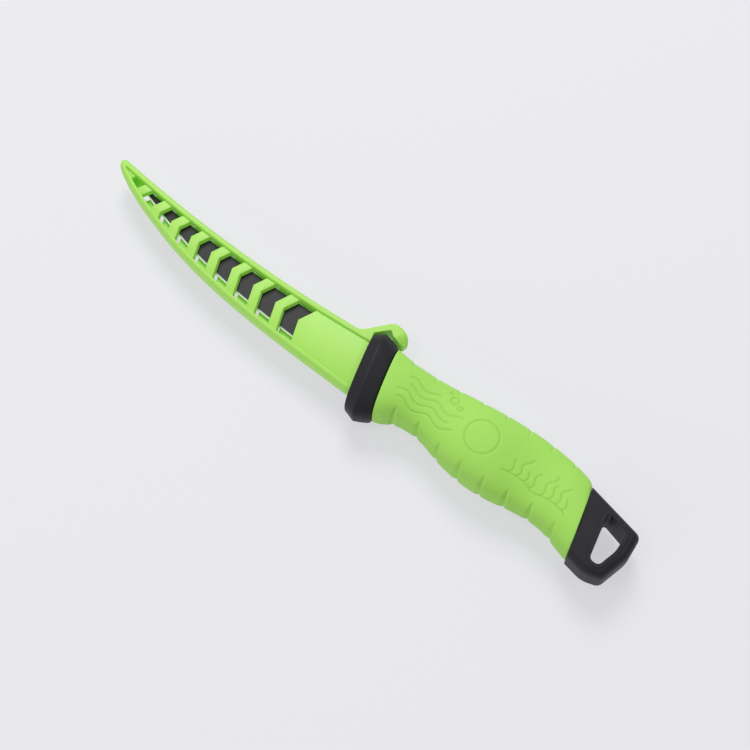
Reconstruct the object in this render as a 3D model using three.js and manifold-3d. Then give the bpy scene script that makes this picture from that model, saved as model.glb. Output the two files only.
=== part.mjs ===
// A fishing knife in its sheath: coated blade, two-shot handle, one-piece sheath with a spring latch.
// Millimetres. The knife lies on its side: +X runs from the blade's point to the pommel,
// +Y from the cutting edge to the spine, +Z up. Z = 0 is the knife's mid-plane until the last line.

import * as THREE from 'three';
import { mergeVertices } from 'three/addons/utils/BufferGeometryUtils.js';
import Module from 'manifold-3d';

// Guard, grip joint lines, flutes and pommel joint all lean by this much from square.
const SLANT_DEG = 16;

// Blade
const BLADE_LENGTH = 132.8;
const BLADE_THICKNESS = 2;
const HEEL_Y = -6.6;
const SPINE_Y_AT_GUARD = 11;
const TIP_Y = 9.2;
const SPINE_SAG = 3.2;
const BELLY_POWER = 3.5;
const BEVEL_WIDTH = 1.1;
const EDGE_THICKNESS = 0.2;
const TANG_LENGTH = 84;
const TANG_HEIGHT = 11;
const TANG_Y = 3.9;
const TANG_HOLE_DIAMETER = 5;
const TANG_HOLE_FROM_GUARD = [30, 66];
const TANG_CLEARANCE = 0.15;

// Handle core: guard, bar and pommel in one moulding
const GUARD_LENGTH = 12.3;
const GUARD_RIDGE_FROM_FRONT = 5.9;
const GUARD_RIDGE_FLAT = 1;
const GUARD_TOP_Y = 18.8;
const GUARD_BOTTOM_Y = -18.9;
const GUARD_THICKNESS = 26;
const GUARD_FRONT_TOP_DROP = 3.2;
const GUARD_FRONT_BOTTOM_DROP = 0.6;
const GUARD_REAR_TOP_DROP = 1.5;
const GUARD_REAR_BOTTOM_DROP = 3.3;
const GUARD_FACE_THINNING = 1.9;
const GUARD_EDGE_RADIUS = 0.7;
const CORE_BAR_HEIGHT = 16.5;
const CORE_BAR_THICKNESS = 10;
const CORE_BAR_Y = 3.9;
const POMMEL_LENGTH = 24.5;
const POMMEL_THICKNESS = 20;
const POMMEL_STEP = 1.4;
const POMMEL_DROP = 1.5;
const POMMEL_EDGE = 2.6;
const POMMEL_SHOULDER = 5.4;
const POMMEL_CORNER = 3.2;
const LANYARD_RING = 6.4;
const LANYARD_CORNER = 1.5;
const LANYARD_FOOT = 4.6;

// Grip
const GRIP_LENGTH = 104.5;
const GRIP_HALF_HEIGHT = 20;
const GRIP_THICKNESS = 26;
const GRIP_WAIST_THICKNESS = 21.5;
const GRIP_SECTION_POWER = 2.5;
const GRIP_END_RADIUS = 0.8;
const FLUTE_PITCH = 12;
const FLUTE_START = 11.2;
const FLUTE_END_MARGIN = 6;
const FLUTE_WIDTH = 4.4;
const FLUTE_DEPTH_EDGE_SIDE = 0.9;
const FLUTE_DEPTH_SPINE_SIDE = 0.75;
const OVERMOULD_GAP = 0.12;
const JOINT_LINE = 0.3;

// Sheath
const CAVITY_CLEARANCE = 0.6;
const PANEL_WALL = 2.3;
const RIM_PROUD = 1.1;
const RIM_WIDTH = 2.3;
const RIM_ROUNDING = 1;
const SPINE_SLACK = 1.7;
const SPINE_SLACK_AT_TIP = 0.9;
const EDGE_SLACK = 3.2;
const EDGE_EXTRA_AT_TIP = 0.35;
const NOSE_RADIUS = 1.9;
const MOUTH_GAP = 0.4;
const BAR_COUNT = 8;
const FIRST_BAR_FROM_TIP = 1.1;
const FIRST_PITCH = 11.3;
const PITCH_GROWTH = 0.28;
const BAR_WIDTH = 5.2;
const TIP_WINDOW = 4.8;
const VERTEX_Y = 3.2;
const VERTEX_FALL = 1.6;
const UPPER_ARM_DEG = 24;
const LOWER_ARM_DEG = 21;

// Latch
const LATCH_WIDTH = 9.8;
const LATCH_ARM = 2.2;
const LATCH_SLOPE_DEG = 50;
const LATCH_ARM_LENGTH = 5.4;
const LATCH_ROUNDING = 0.4;
const LATCH_HEIGHT = 6.6;
const LATCH_HOOK = 0.5;
const KNOB_RADIUS = 1.95;
const KNOB_END_ROUNDING = 4.4;
const HINGE_BEFORE_GUARD = 2.2;
const HINGE_ABOVE_CORNER = 1.6;
const HINGE_GAP = 0.3;
const SERRATION_COUNT = 9;
const SERRATION_DEPTH = 0.3;

const lean = Math.tan(THREE.MathUtils.degToRad(SLANT_DEG));
const guardFront = -5.9;
const guardRidge = guardFront + GUARD_RIDGE_FROM_FRONT;
const guardRear = guardFront + GUARD_LENGTH;
const gripFront = guardRear + JOINT_LINE;
const gripRear = gripFront + GRIP_LENGTH;
const pommelFront = gripRear + JOINT_LINE;
const FAR = 400;

// A point of the plane that leans by SLANT_DEG and meets the X axis at `station`.
const slanted = (station, y) => station - y * lean;

const wasm = await Module();
wasm.setup();

function solidOf(geometry) {
  const bare = geometry.index ? geometry.clone() : geometry;
  bare.deleteAttribute('normal');
  bare.deleteAttribute('uv');
  const merged = mergeVertices(bare, 1e-4);
  return new wasm.Manifold(new wasm.Mesh({
    numProp: 3,
    vertProperties: new Float32Array(merged.attributes.position.array),
    triVerts: new Uint32Array(merged.index.array),
  }));
}

function geometryOf(solid) {
  const mesh = solid.getMesh();
  const geometry = new THREE.BufferGeometry();
  geometry.setAttribute('position', new THREE.BufferAttribute(new Float32Array(mesh.vertProperties), 3));
  geometry.setIndex(new THREE.BufferAttribute(new Uint32Array(mesh.triVerts), 1));
  geometry.computeVertexNormals();
  return geometry;
}

// A plate between two heights, with its edges rounded off inside its outline, over `drop` in height.
function plate(shape, bottom, top, rounding = 0, curveSegments = 10, drop = rounding) {
  const geometry = new THREE.ExtrudeGeometry(shape, {
    depth: top - bottom - 2 * drop,
    curveSegments,
    bevelEnabled: rounding > 0,
    bevelSize: rounding,
    bevelThickness: drop,
    bevelOffset: -rounding,
    bevelSegments: drop > rounding ? 5 : 3,
  });
  geometry.translate(0, 0, bottom + drop);
  return solidOf(geometry);
}

const polygon = (points) => new THREE.Shape(points.map(([x, y]) => new THREE.Vector2(x, y)));

// A closed path drawn anticlockwise through corners [x, y, radius], with an arc at each.
function roundedPath(corners) {
  const path = new THREE.Shape();
  const points = corners.map(([x, y]) => new THREE.Vector2(x, y));
  corners.forEach(([, , radius], i) => {
    const corner = points[i];
    const before = points.at(i - 1).clone().sub(corner).normalize();
    const after = points[(i + 1) % points.length].clone().sub(corner).normalize();
    const half = Math.acos(before.dot(after)) / 2;
    const inward = before.clone().add(after).normalize();
    const centre = corner.clone().addScaledVector(inward, radius / Math.sin(half));
    const middle = Math.atan2(-inward.y, -inward.x);
    const sweep = Math.PI / 2 - half;
    path.absarc(centre.x, centre.y, radius, middle - sweep, middle + sweep, false);
  });
  return path;
}

// Skins a run of closed rings with equal point counts and closes both ends.
function loft(rings) {
  const count = rings[0].length;
  const positions = rings.flat().flatMap((p) => [p.x, p.y, p.z]);
  const faces = [];
  for (let r = 0; r + 1 < rings.length; r += 1) {
    for (let i = 0; i < count; i += 1) {
      const a = r * count + i;
      const b = r * count + (i + 1) % count;
      faces.push(a, b, a + count, b, b + count, a + count);
    }
  }
  const last = (rings.length - 1) * count;
  const outline = rings[0].map((p) => new THREE.Vector2(p.y, p.z));
  const endOutline = rings[rings.length - 1].map((p) => new THREE.Vector2(p.y, p.z));
  for (const [a, b, c] of THREE.ShapeUtils.triangulateShape(outline, [])) faces.push(c, b, a);
  for (const [a, b, c] of THREE.ShapeUtils.triangulateShape(endOutline, [])) {
    faces.push(last + a, last + b, last + c);
  }
  const geometry = new THREE.BufferGeometry();
  geometry.setAttribute('position', new THREE.Float32BufferAttribute(positions, 3));
  geometry.setIndex(faces);
  return solidOf(geometry);
}

// A leaning ring between two Y limits: an oval whose corners square up as the power rises.
function ring({ station, bottom, top, thickness, power, count, shrink = () => 0 }) {
  const middle = (top + bottom) / 2;
  const half = (top - bottom) / 2;
  const points = [];
  for (let i = 0; i < count; i += 1) {
    const angle = (2 * Math.PI * (i + 0.5)) / count;
    const c = Math.cos(angle);
    const s = Math.sin(angle);
    const cut = shrink(c);
    const y = middle + (half - cut) * Math.sign(c) * Math.abs(c) ** (2 / power);
    const z = (thickness / 2 - cut) * Math.sign(s) * Math.abs(s) ** (2 / power);
    points.push(new THREE.Vector3(slanted(station, y), y, z));
  }
  return points;
}

// The wedge of space on the handle's side of a leaning plane.
function handleSideOf(station) {
  return plate(polygon([
    [slanted(station, -FAR), -FAR],
    [slanted(station, -FAR) + FAR, -FAR],
    [slanted(station, FAR) + FAR, FAR],
    [slanted(station, FAR), FAR],
  ]), -FAR, FAR);
}

// How far along the blade a place lies: 0 at the guard, 1 at the point, more past the point.
const along = (x) => (guardFront - x) / BLADE_LENGTH;
const atShare = (share) => guardFront - share * BLADE_LENGTH;

function spineY(x) {
  const t = along(x);
  return THREE.MathUtils.lerp(SPINE_Y_AT_GUARD, TIP_Y, t) - SPINE_SAG * 4 * t * (1 - t);
}

function edgeY(x) {
  return HEEL_Y + (TIP_Y - HEEL_Y) * Math.max(0, along(x)) ** BELLY_POWER;
}

function tangShape(clearance) {
  const half = TANG_HEIGHT / 2 + clearance;
  const end = guardFront + TANG_LENGTH + clearance;
  const start = slanted(guardFront, TANG_Y) - 6;
  const shape = new THREE.Shape();
  shape.moveTo(start, TANG_Y - half);
  shape.lineTo(end - half, TANG_Y - half);
  shape.absarc(end - half, TANG_Y, half, -Math.PI / 2, Math.PI / 2, false);
  shape.lineTo(start, TANG_Y + half);
  return shape;
}

function tangHoles(clearance) {
  return TANG_HOLE_FROM_GUARD.map((distance) => {
    const hole = new THREE.Shape();
    hole.absarc(guardFront + distance, TANG_Y, TANG_HOLE_DIAMETER / 2 - clearance, 0, 2 * Math.PI, false);
    return hole;
  });
}

function makeBlade() {
  const steps = 36;
  const rings = [];
  for (let i = 0; i <= steps; i += 1) {
    const share = THREE.MathUtils.lerp(0.997, -0.03, i / steps);
    const x = atShare(share);
    const top = spineY(x);
    const bottom = edgeY(x);
    const bevel = Math.min(BEVEL_WIDTH, (top - bottom) / 2);
    const flat = BLADE_THICKNESS / 2;
    const sharp = EDGE_THICKNESS / 2;
    const section = [
      [top, -flat], [top, flat], [bottom + bevel, flat],
      [bottom, sharp], [bottom, -sharp], [bottom + bevel, -flat],
    ];
    rings.push(section.map(([y, z]) => new THREE.Vector3(x, y, z)));
  }
  const tang = tangShape(0);
  tang.holes.push(...tangHoles(0));
  const half = BLADE_THICKNESS / 2;
  return loft(rings)
    .subtract(handleSideOf(guardFront - TANG_CLEARANCE))
    .add(plate(tang, -half, half, 0, 8));
}

const guardFrontTop = GUARD_TOP_Y - GUARD_FRONT_TOP_DROP;
const guardRearTop = GUARD_TOP_Y - GUARD_REAR_TOP_DROP;

// The guard swells from a slim front face to a ridge and falls away again to the grip.
function makeGuard() {
  const oval = { power: 3.6, count: 40 };
  const faceThickness = GUARD_THICKNESS - 2 * GUARD_FACE_THINNING;
  const front = {
    ...oval, bottom: GUARD_BOTTOM_Y + GUARD_FRONT_BOTTOM_DROP, top: guardFrontTop, thickness: faceThickness,
  };
  const full = { ...oval, bottom: GUARD_BOTTOM_Y, top: GUARD_TOP_Y, thickness: GUARD_THICKNESS };
  const rear = {
    ...oval, bottom: GUARD_BOTTOM_Y + GUARD_REAR_BOTTOM_DROP, top: guardRearTop, thickness: faceThickness,
  };
  const rounded = () => GUARD_EDGE_RADIUS;
  return loft([
    ring({ ...front, station: guardFront, shrink: rounded }),
    ring({ ...front, station: guardFront + GUARD_EDGE_RADIUS }),
    ring({ ...full, station: guardRidge }),
    ring({ ...full, station: guardRidge + GUARD_RIDGE_FLAT }),
    ring({ ...rear, station: guardRear - GUARD_EDGE_RADIUS }),
    ring({ ...rear, station: guardRear, shrink: rounded }),
  ]);
}

const gripEndTop = 1.01 * GRIP_HALF_HEIGHT;
const gripEndBottom = -0.68 * GRIP_HALF_HEIGHT;

function pommelShape() {
  const end = pommelFront + POMMEL_LENGTH;
  const topFront = gripEndTop - POMMEL_STEP;
  const topRear = topFront - POMMEL_LENGTH * 0.265;
  const bottomFront = gripEndBottom + 0.8;
  const front = pommelFront - POMMEL_EDGE - POMMEL_CORNER;
  const bottom = gripEndBottom - POMMEL_DROP;
  return roundedPath([
    [slanted(front, topFront), topFront, POMMEL_CORNER],
    [slanted(front, bottomFront), bottomFront, POMMEL_CORNER],
    [end - 11, bottom - 0.6, 4 * POMMEL_CORNER],
    [end - 3.2, bottom + 1.9, 1.2 * POMMEL_CORNER],
    [end + 0.25, topRear - 11, 4 * POMMEL_CORNER],
    [end - 1.3, topRear - 0.5, 1.3 * POMMEL_CORNER],
  ]);
}

// The pommel's blank is cut square along its joint with the grip, and pierced for the lanyard.
function makePommel() {
  const half = POMMEL_THICKNESS / 2;
  const behindJoint = polygon([
    [slanted(pommelFront, -FAR / 4), -FAR / 4],
    [pommelFront + FAR, -FAR / 4],
    [pommelFront + FAR, FAR / 4],
    [slanted(pommelFront, FAR / 4), FAR / 4],
  ]);
  return plate(pommelShape(), -half, half, POMMEL_EDGE, 4, POMMEL_SHOULDER)
    .intersect(plate(behindJoint, -half - 1, half + 1))
    .subtract(plate(lanyardHole(), -half - 1, half + 1, 0, 4));
}

// The lanyard hole keeps one ring width from the pommel's top, end and bottom.
function lanyardHole() {
  const end = pommelFront + POMMEL_LENGTH;
  const top = gripEndTop - POMMEL_STEP - LANYARD_RING - 0.8;
  const bottom = gripEndBottom - POMMEL_DROP + LANYARD_RING - 1.2;
  const right = end - LANYARD_RING + 0.1;
  return roundedPath([
    [pommelFront + LANYARD_RING + 0.2, top, LANYARD_CORNER],
    [right - LANYARD_FOOT - 1.7, bottom, LANYARD_FOOT / 2],
    [right - 1.7, bottom, LANYARD_FOOT / 2],
    [right + 0.5, (top + bottom) / 2 - 1.5, 6 * LANYARD_CORNER],
    [right - 0.1, top - 2.8, LANYARD_CORNER],
  ]);
}

const coreBarShape = (margin) => {
  const half = CORE_BAR_HEIGHT / 2 + margin;
  return polygon([
    [guardRear - 4, CORE_BAR_Y - half],
    [pommelFront + 5, CORE_BAR_Y - half],
    [pommelFront + 5, CORE_BAR_Y + half],
    [guardRear - 4, CORE_BAR_Y + half],
  ]);
};

function makeHandleCore() {
  const halfBar = CORE_BAR_THICKNESS / 2;
  const halfSlot = BLADE_THICKNESS / 2 + TANG_CLEARANCE;
  const slot = tangShape(TANG_CLEARANCE);
  slot.holes.push(...tangHoles(TANG_CLEARANCE));
  return makeGuard()
    .add(plate(coreBarShape(0), -halfBar, halfBar))
    .add(makePommel())
    .subtract(plate(slot, -halfSlot, halfSlot, 0, 8));
}

// Side outlines of the grip, as shares of its length and half height: finger hollow, palm swell, rear hollow.
const gripTop = new THREE.SplineCurve([
  [0, 0.875], [0.1, 0.825], [0.18, 0.84], [0.28, 0.895], [0.43, 1.015], [0.6, 1.13], [0.75, 1.175],
  [0.88, 1.13], [0.97, 1.045], [1, 1.01],
].map(([share, y]) => new THREE.Vector2(share, y * GRIP_HALF_HEIGHT)));
const gripBottom = new THREE.SplineCurve([
  [0, -0.75], [0.04, -0.68], [0.1, -0.515], [0.17, -0.465], [0.24, -0.485], [0.35, -0.635], [0.47, -0.69],
  [0.58, -0.65], [0.72, -0.52], [0.81, -0.47], [0.88, -0.5], [0.95, -0.61], [1, -0.68],
].map(([share, y]) => new THREE.Vector2(share, y * GRIP_HALF_HEIGHT)));

function heightAt(curve, share) {
  let low = 0;
  let high = 1;
  for (let i = 0; i < 40; i += 1) {
    const middle = (low + high) / 2;
    if (curve.getPoint(middle).x < share) low = middle;
    else high = middle;
  }
  return curve.getPoint((low + high) / 2).y;
}

// Half-way thin at the finger hollow and at the rear hollow, full at the guard and the palm swell.
function gripThickness(share) {
  const swell = (1 + Math.cos(4 * Math.PI * (share - 0.5))) / 2;
  const taper = share > 0.6 ? (share - 0.6) * 8 : 0;
  return THREE.MathUtils.lerp(GRIP_WAIST_THICKNESS, GRIP_THICKNESS, swell) - taper;
}

function makeGrip() {
  const fluteCount = 1 + Math.floor((GRIP_LENGTH - FLUTE_START - FLUTE_END_MARGIN) / FLUTE_PITCH);
  const flutes = Array.from({ length: fluteCount }, (_, i) => FLUTE_START + i * FLUTE_PITCH);
  const fluteCut = (distance) => {
    const off = Math.min(...flutes.map((f) => Math.abs(distance - f))) / (FLUTE_WIDTH / 2);
    return Math.max(0, 1 - off) ** 0.8;
  };
  const stops = [0, GRIP_END_RADIUS * 0.3, GRIP_END_RADIUS, FLUTE_START / 2];
  for (const f of flutes) {
    stops.push(f - FLUTE_WIDTH / 2, f - FLUTE_WIDTH / 5, f, f + FLUTE_WIDTH / 5, f + FLUTE_WIDTH / 2);
    stops.push(f + FLUTE_PITCH / 2);
  }
  stops.push(GRIP_LENGTH - GRIP_END_RADIUS, GRIP_LENGTH - GRIP_END_RADIUS * 0.3, GRIP_LENGTH);
  const distances = stops.filter((d) => d <= GRIP_LENGTH).sort((a, b) => a - b)
    .filter((d, i, all) => i === 0 || d - all[i - 1] > 0.15);
  const rings = distances.map((distance) => {
    const share = distance / GRIP_LENGTH;
    const fromEnd = Math.min(distance, GRIP_LENGTH - distance) / GRIP_END_RADIUS;
    const rounding = fromEnd < 1 ? GRIP_END_RADIUS * (1 - Math.sqrt(1 - (1 - fromEnd) ** 2)) : 0;
    const flute = fluteCut(distance);
    return ring({
      station: gripFront + distance,
      bottom: heightAt(gripBottom, share),
      top: heightAt(gripTop, share),
      thickness: gripThickness(share),
      power: GRIP_SECTION_POWER,
      count: 36,
      shrink: (c) => {
        const depth = c < 0 ? FLUTE_DEPTH_EDGE_SIDE : FLUTE_DEPTH_SPINE_SIDE;
        return rounding + depth * flute * Math.max(0, Math.abs(c) - 0.25) / 0.75;
      },
    });
  });
  const halfBar = CORE_BAR_THICKNESS / 2 + OVERMOULD_GAP;
  return loft(rings).subtract(plate(coreBarShape(OVERMOULD_GAP), -halfBar, halfBar));
}

// Heights across the sheath, from its mid-plane outwards.
const cavityHalf = BLADE_THICKNESS / 2 + CAVITY_CLEARANCE;
const panelHalf = cavityHalf + PANEL_WALL;
const rimHalf = panelHalf + RIM_PROUD;
const sheathMouth = guardFront - MOUTH_GAP;

const innerTop = (x) => spineY(x) + THREE.MathUtils.lerp(SPINE_SLACK, SPINE_SLACK_AT_TIP, along(x));
const innerBottom = (x) => edgeY(x) - EDGE_SLACK - EDGE_EXTRA_AT_TIP * Math.max(0, along(x)) ** 4;

// Where the sheath's two walls, each moved out by `margin`, come within `gap` of each other.
function wallsMeet(margin, gap) {
  let near = atShare(0.8);
  let far = near - BLADE_LENGTH;
  for (let i = 0; i < 60; i += 1) {
    const x = (near + far) / 2;
    if (innerTop(x) - innerBottom(x) + 2 * margin > gap) near = x;
    else far = x;
  }
  return near;
}

// The outline between the two walls, from `startTop` and `startBottom` to a round nose.
function sheathOutline(margin, noseRadius, startTop, startBottom) {
  const steps = 24;
  const nose = wallsMeet(margin, 2 * noseRadius);
  const top = [];
  const bottom = [];
  for (let i = 0; i <= steps; i += 1) {
    const xTop = THREE.MathUtils.lerp(startTop, nose, i / steps);
    const xBottom = THREE.MathUtils.lerp(startBottom, nose, i / steps);
    top.push([xTop, innerTop(xTop) + margin]);
    bottom.push([xBottom, innerBottom(xBottom) - margin]);
  }
  const middle = (top[steps][1] + bottom[steps][1]) / 2;
  const cap = [];
  for (let i = 1; i < 8; i += 1) {
    const angle = Math.PI * (0.5 + i / 8);
    cap.push([nose + noseRadius * Math.cos(angle), middle + noseRadius * Math.sin(angle)]);
  }
  return { top, cap, bottom: bottom.reverse() };
}

// Latch places: the hinge sits just outside the guard's upper front corner.
const latchSlope = THREE.MathUtils.degToRad(LATCH_SLOPE_DEG);
const up = new THREE.Vector2(Math.cos(latchSlope), Math.sin(latchSlope));
const out = new THREE.Vector2(-up.y, up.x);
const guardCorner = new THREE.Vector2(slanted(guardFront, guardFrontTop), guardFrontTop);
const hinge = new THREE.Vector2(guardCorner.x - HINGE_BEFORE_GUARD, guardCorner.y + HINGE_ABOVE_CORNER);
const from = (origin, alongArm, outward) => origin.clone().addScaledVector(up, alongArm)
  .addScaledVector(out, outward);

const mouthX = (y) => slanted(sheathMouth, y);

// The sheath before it is hollowed: one rounded plate, cut off parallel to the guard.
function sheathBlank() {
  const topY = innerTop(mouthX(SPINE_Y_AT_GUARD)) + RIM_WIDTH;
  const bottomY = innerBottom(mouthX(HEEL_Y)) - RIM_WIDTH;
  const outline = sheathOutline(RIM_WIDTH, NOSE_RADIUS, mouthX(topY), mouthX(bottomY));
  return plate(polygon([...outline.top, ...outline.cap, ...outline.bottom]), -rimHalf, rimHalf, RIM_ROUNDING);
}

// The ramp from the spine rim up to the latch's hinge.
function latchRamp() {
  const rimMiddle = (x) => innerTop(x) + RIM_WIDTH / 2;
  const crest = from(hinge, 0, LATCH_ARM / 2);
  const heel = from(hinge, 0, -LATCH_ARM / 2);
  let foot = crest.x;
  while (crest.y - (crest.x - foot) * Math.tan(latchSlope) > rimMiddle(foot)) foot -= 0.05;
  const rearY = rimMiddle(mouthX(SPINE_Y_AT_GUARD));
  return plate(polygon([
    [foot, rimMiddle(foot)], [mouthX(rearY), rearY], [heel.x, heel.y], [crest.x, crest.y],
  ]), -LATCH_WIDTH / 2, LATCH_WIDTH / 2, LATCH_ROUNDING);
}

function hingeSeat() {
  const seat = new THREE.Shape();
  seat.absarc(hinge.x, hinge.y, LATCH_ARM / 2 + HINGE_GAP, 0, 2 * Math.PI, false);
  return plate(seat, -FAR / 2, FAR / 2);
}

// Where bar number `index` meets the vertex line on its tip side, counted from the tip; the last is the panel.
function barX(index) {
  let x = atShare(1) - FIRST_BAR_FROM_TIP;
  for (let i = 0; i < index; i += 1) x += FIRST_PITCH + PITCH_GROWTH * i;
  return x;
}

// One side of a chevron: its vertex line point and both swept arms, well past the rims.
function chevronSide(x) {
  const reach = 40;
  const vertex = VERTEX_Y - VERTEX_FALL * THREE.MathUtils.degToRad(x - barX(1));
  const upper = reach * Math.tan(THREE.MathUtils.degToRad(UPPER_ARM_DEG));
  const lower = reach * Math.tan(THREE.MathUtils.degToRad(LOWER_ARM_DEG));
  return [[x + upper, vertex + reach], [x, vertex], [x + lower, vertex - reach]];
}

const strip = (left, right) => polygon([...left, ...right.slice().reverse()]);

function makeSheathBody() {
  const mouth = guardFront + 60;
  const inner = sheathOutline(0, 0.25, mouth, mouth);
  const flank = plate(polygon([...inner.top, ...inner.cap, ...inner.bottom]), -FAR / 2, FAR / 2);
  const slab = (bottom, top) => plate(polygon([[-FAR, -FAR], [FAR, -FAR], [FAR, FAR], [-FAR, FAR]]), bottom, top);
  const deep = 3 * rimHalf;
  let hollow = slab(-cavityHalf, cavityHalf).add(slab(panelHalf, deep)).add(slab(-deep, -panelHalf));
  const tipEdge = barX(0) - TIP_WINDOW;
  const frontWindows = [strip([[tipEdge, FAR / 4], [tipEdge, 0], [tipEdge, -FAR / 4]], chevronSide(barX(0)))];
  for (let i = 0; i < BAR_COUNT; i += 1) {
    frontWindows.push(strip(chevronSide(barX(i) + BAR_WIDTH), chevronSide(barX(i + 1))));
    hollow = hollow.add(plate(strip(chevronSide(barX(i)), chevronSide(barX(i) + BAR_WIDTH)), -deep, 0));
  }
  for (const window of frontWindows) hollow = hollow.add(plate(window, 0, deep));
  return sheathBlank().add(latchRamp()).subtract(hingeSeat()).subtract(hollow.intersect(flank));
}

function makeSheathLatch() {
  const half = LATCH_ARM / 2;
  const peak = new THREE.Vector2(slanted(guardRidge, GUARD_TOP_Y), GUARD_TOP_Y);
  const rearCorner = new THREE.Vector2(slanted(guardRear, guardRearTop), guardRearTop);
  const knob = new THREE.Vector2(rearCorner.x + 0.3, GUARD_TOP_Y - LATCH_HOOK + KNOB_RADIUS);
  const elbow = new THREE.Vector2(peak.x - 0.9, peak.y + 3.5);
  const armTop = from(hinge, LATCH_ARM_LENGTH, half);
  const crown = new THREE.Vector2(peak.x + 1, peak.y + LATCH_HEIGHT);
  const rise = new THREE.QuadraticBezierCurve(armTop, new THREE.Vector2(armTop.x + 2.4, crown.y), crown);
  const turn = THREE.MathUtils.degToRad(25);
  const back = new THREE.Vector2(knob.x + KNOB_RADIUS * Math.cos(turn), knob.y + KNOB_RADIUS * Math.sin(turn));

  const shape = new THREE.Shape();
  const rootAngle = Math.atan2(out.y, out.x);
  const root = from(hinge, 0, -half);
  shape.moveTo(root.x, root.y);
  shape.absarc(hinge.x, hinge.y, half, rootAngle + Math.PI, rootAngle, true);
  shape.lineTo(armTop.x, armTop.y);
  shape.quadraticCurveTo(rise.v1.x, rise.v1.y, crown.x, crown.y);
  shape.quadraticCurveTo(back.x - 1.4, crown.y - 0.3, back.x, back.y);
  shape.absarc(knob.x, knob.y, KNOB_RADIUS, turn, THREE.MathUtils.degToRad(-115), true);
  shape.lineTo(elbow.x + 0.7, elbow.y - 0.4);
  shape.lineTo(elbow.x - 0.6, elbow.y - 0.5);

  const halfWidth = LATCH_WIDTH / 2;
  const knobEnd = knob.x + KNOB_RADIUS + 0.05;
  const inner = Math.min(KNOB_END_ROUNDING, 0.95 * halfWidth);
  const topView = new THREE.Shape();
  topView.moveTo(knobEnd - FAR / 4, -halfWidth - 1);
  topView.lineTo(knobEnd - inner - 1, -halfWidth - 1);
  topView.lineTo(knobEnd - inner - 1, -halfWidth);
  topView.absarc(knobEnd - inner, -halfWidth + inner, inner, -Math.PI / 2, 0, false);
  topView.absarc(knobEnd - inner, halfWidth - inner, inner, 0, Math.PI / 2, false);
  topView.lineTo(knobEnd - inner - 1, halfWidth);
  topView.lineTo(knobEnd - inner - 1, halfWidth + 1);
  topView.lineTo(knobEnd - FAR / 4, halfWidth + 1);
  const thumbEnd = plate(topView, -FAR / 4, FAR / 4, 0, 4).rotate([90, 0, 0]);

  let latch = plate(shape, -halfWidth, halfWidth, LATCH_ROUNDING, 5).intersect(thumbEnd);
  for (let i = 0; i < SERRATION_COUNT; i += 1) {
    const share = (i + 0.5) / SERRATION_COUNT;
    const place = rise.getPoint(share);
    const run = rise.getTangent(share);
    const groove = polygon([
      [place.x - run.x * SERRATION_DEPTH - run.y, place.y - run.y * SERRATION_DEPTH + run.x],
      [place.x + run.y * SERRATION_DEPTH, place.y - run.x * SERRATION_DEPTH],
      [place.x + run.x * SERRATION_DEPTH - run.y, place.y + run.y * SERRATION_DEPTH + run.x],
    ]);
    latch = latch.subtract(plate(groove, -LATCH_WIDTH, LATCH_WIDTH));
  }
  return latch;
}

const green = { color: '#b4ee70', roughness: 0.45, metalness: 0 };
const finishes = {
  blade: { color: '#4b4b4d', roughness: 0.5, metalness: 0.6 },
  handle_core: { color: '#2e2e32', roughness: 0.6, metalness: 0 },
  grip: { color: '#a0dc5e', roughness: 0.8, metalness: 0 },
  sheath_body: green,
  sheath_latch: green,
};
const solids = {
  blade: makeBlade(),
  handle_core: makeHandleCore(),
  grip: makeGrip(),
  sheath_body: makeSheathBody(),
  sheath_latch: makeSheathLatch(),
};

const knife = new THREE.Group();
for (const [name, solid] of Object.entries(solids)) {
  const mesh = new THREE.Mesh(geometryOf(solid), new THREE.MeshStandardMaterial(finishes[name]));
  mesh.name = name;
  knife.add(mesh);
}

// The origin is the middle of the knife's underside.
const box = new THREE.Box3().setFromObject(knife);
const middle = box.getCenter(new THREE.Vector3());
knife.position.set(-middle.x, -middle.y, -box.min.z);
knife.updateMatrixWorld(true);

export default knife;
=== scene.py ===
import math

import bmesh
import bpy
import numpy as np
from mathutils import Matrix, Vector


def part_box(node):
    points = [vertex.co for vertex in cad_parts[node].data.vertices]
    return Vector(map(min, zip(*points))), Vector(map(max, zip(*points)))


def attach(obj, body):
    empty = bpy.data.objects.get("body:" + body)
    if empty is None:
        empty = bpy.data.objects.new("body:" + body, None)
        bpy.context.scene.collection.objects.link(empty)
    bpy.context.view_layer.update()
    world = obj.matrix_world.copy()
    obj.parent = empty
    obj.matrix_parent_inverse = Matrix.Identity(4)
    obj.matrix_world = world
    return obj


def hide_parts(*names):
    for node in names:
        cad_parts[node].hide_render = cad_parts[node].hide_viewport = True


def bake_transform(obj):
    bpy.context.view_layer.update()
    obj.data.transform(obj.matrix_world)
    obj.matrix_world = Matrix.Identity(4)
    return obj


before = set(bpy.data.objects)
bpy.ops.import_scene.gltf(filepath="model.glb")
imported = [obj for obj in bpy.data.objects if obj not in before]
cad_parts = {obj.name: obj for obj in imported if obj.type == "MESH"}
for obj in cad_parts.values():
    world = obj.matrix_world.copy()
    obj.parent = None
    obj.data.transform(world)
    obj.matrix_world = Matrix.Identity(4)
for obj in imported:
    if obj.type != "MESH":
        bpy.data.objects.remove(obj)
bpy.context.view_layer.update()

MM = 0.001

# The knife's own zero is where the guard's ridge crosses the blade's middle plane,
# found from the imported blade.
BLADE_REACH = 138.302
HEEL_Y = -6.6
blade_low, blade_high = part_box("blade")
ZERO = Vector((
    blade_low.x + BLADE_REACH * MM,
    blade_low.y - HEEL_Y * MM,
    (blade_low.z + blade_high.z) / 2,
))

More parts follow.
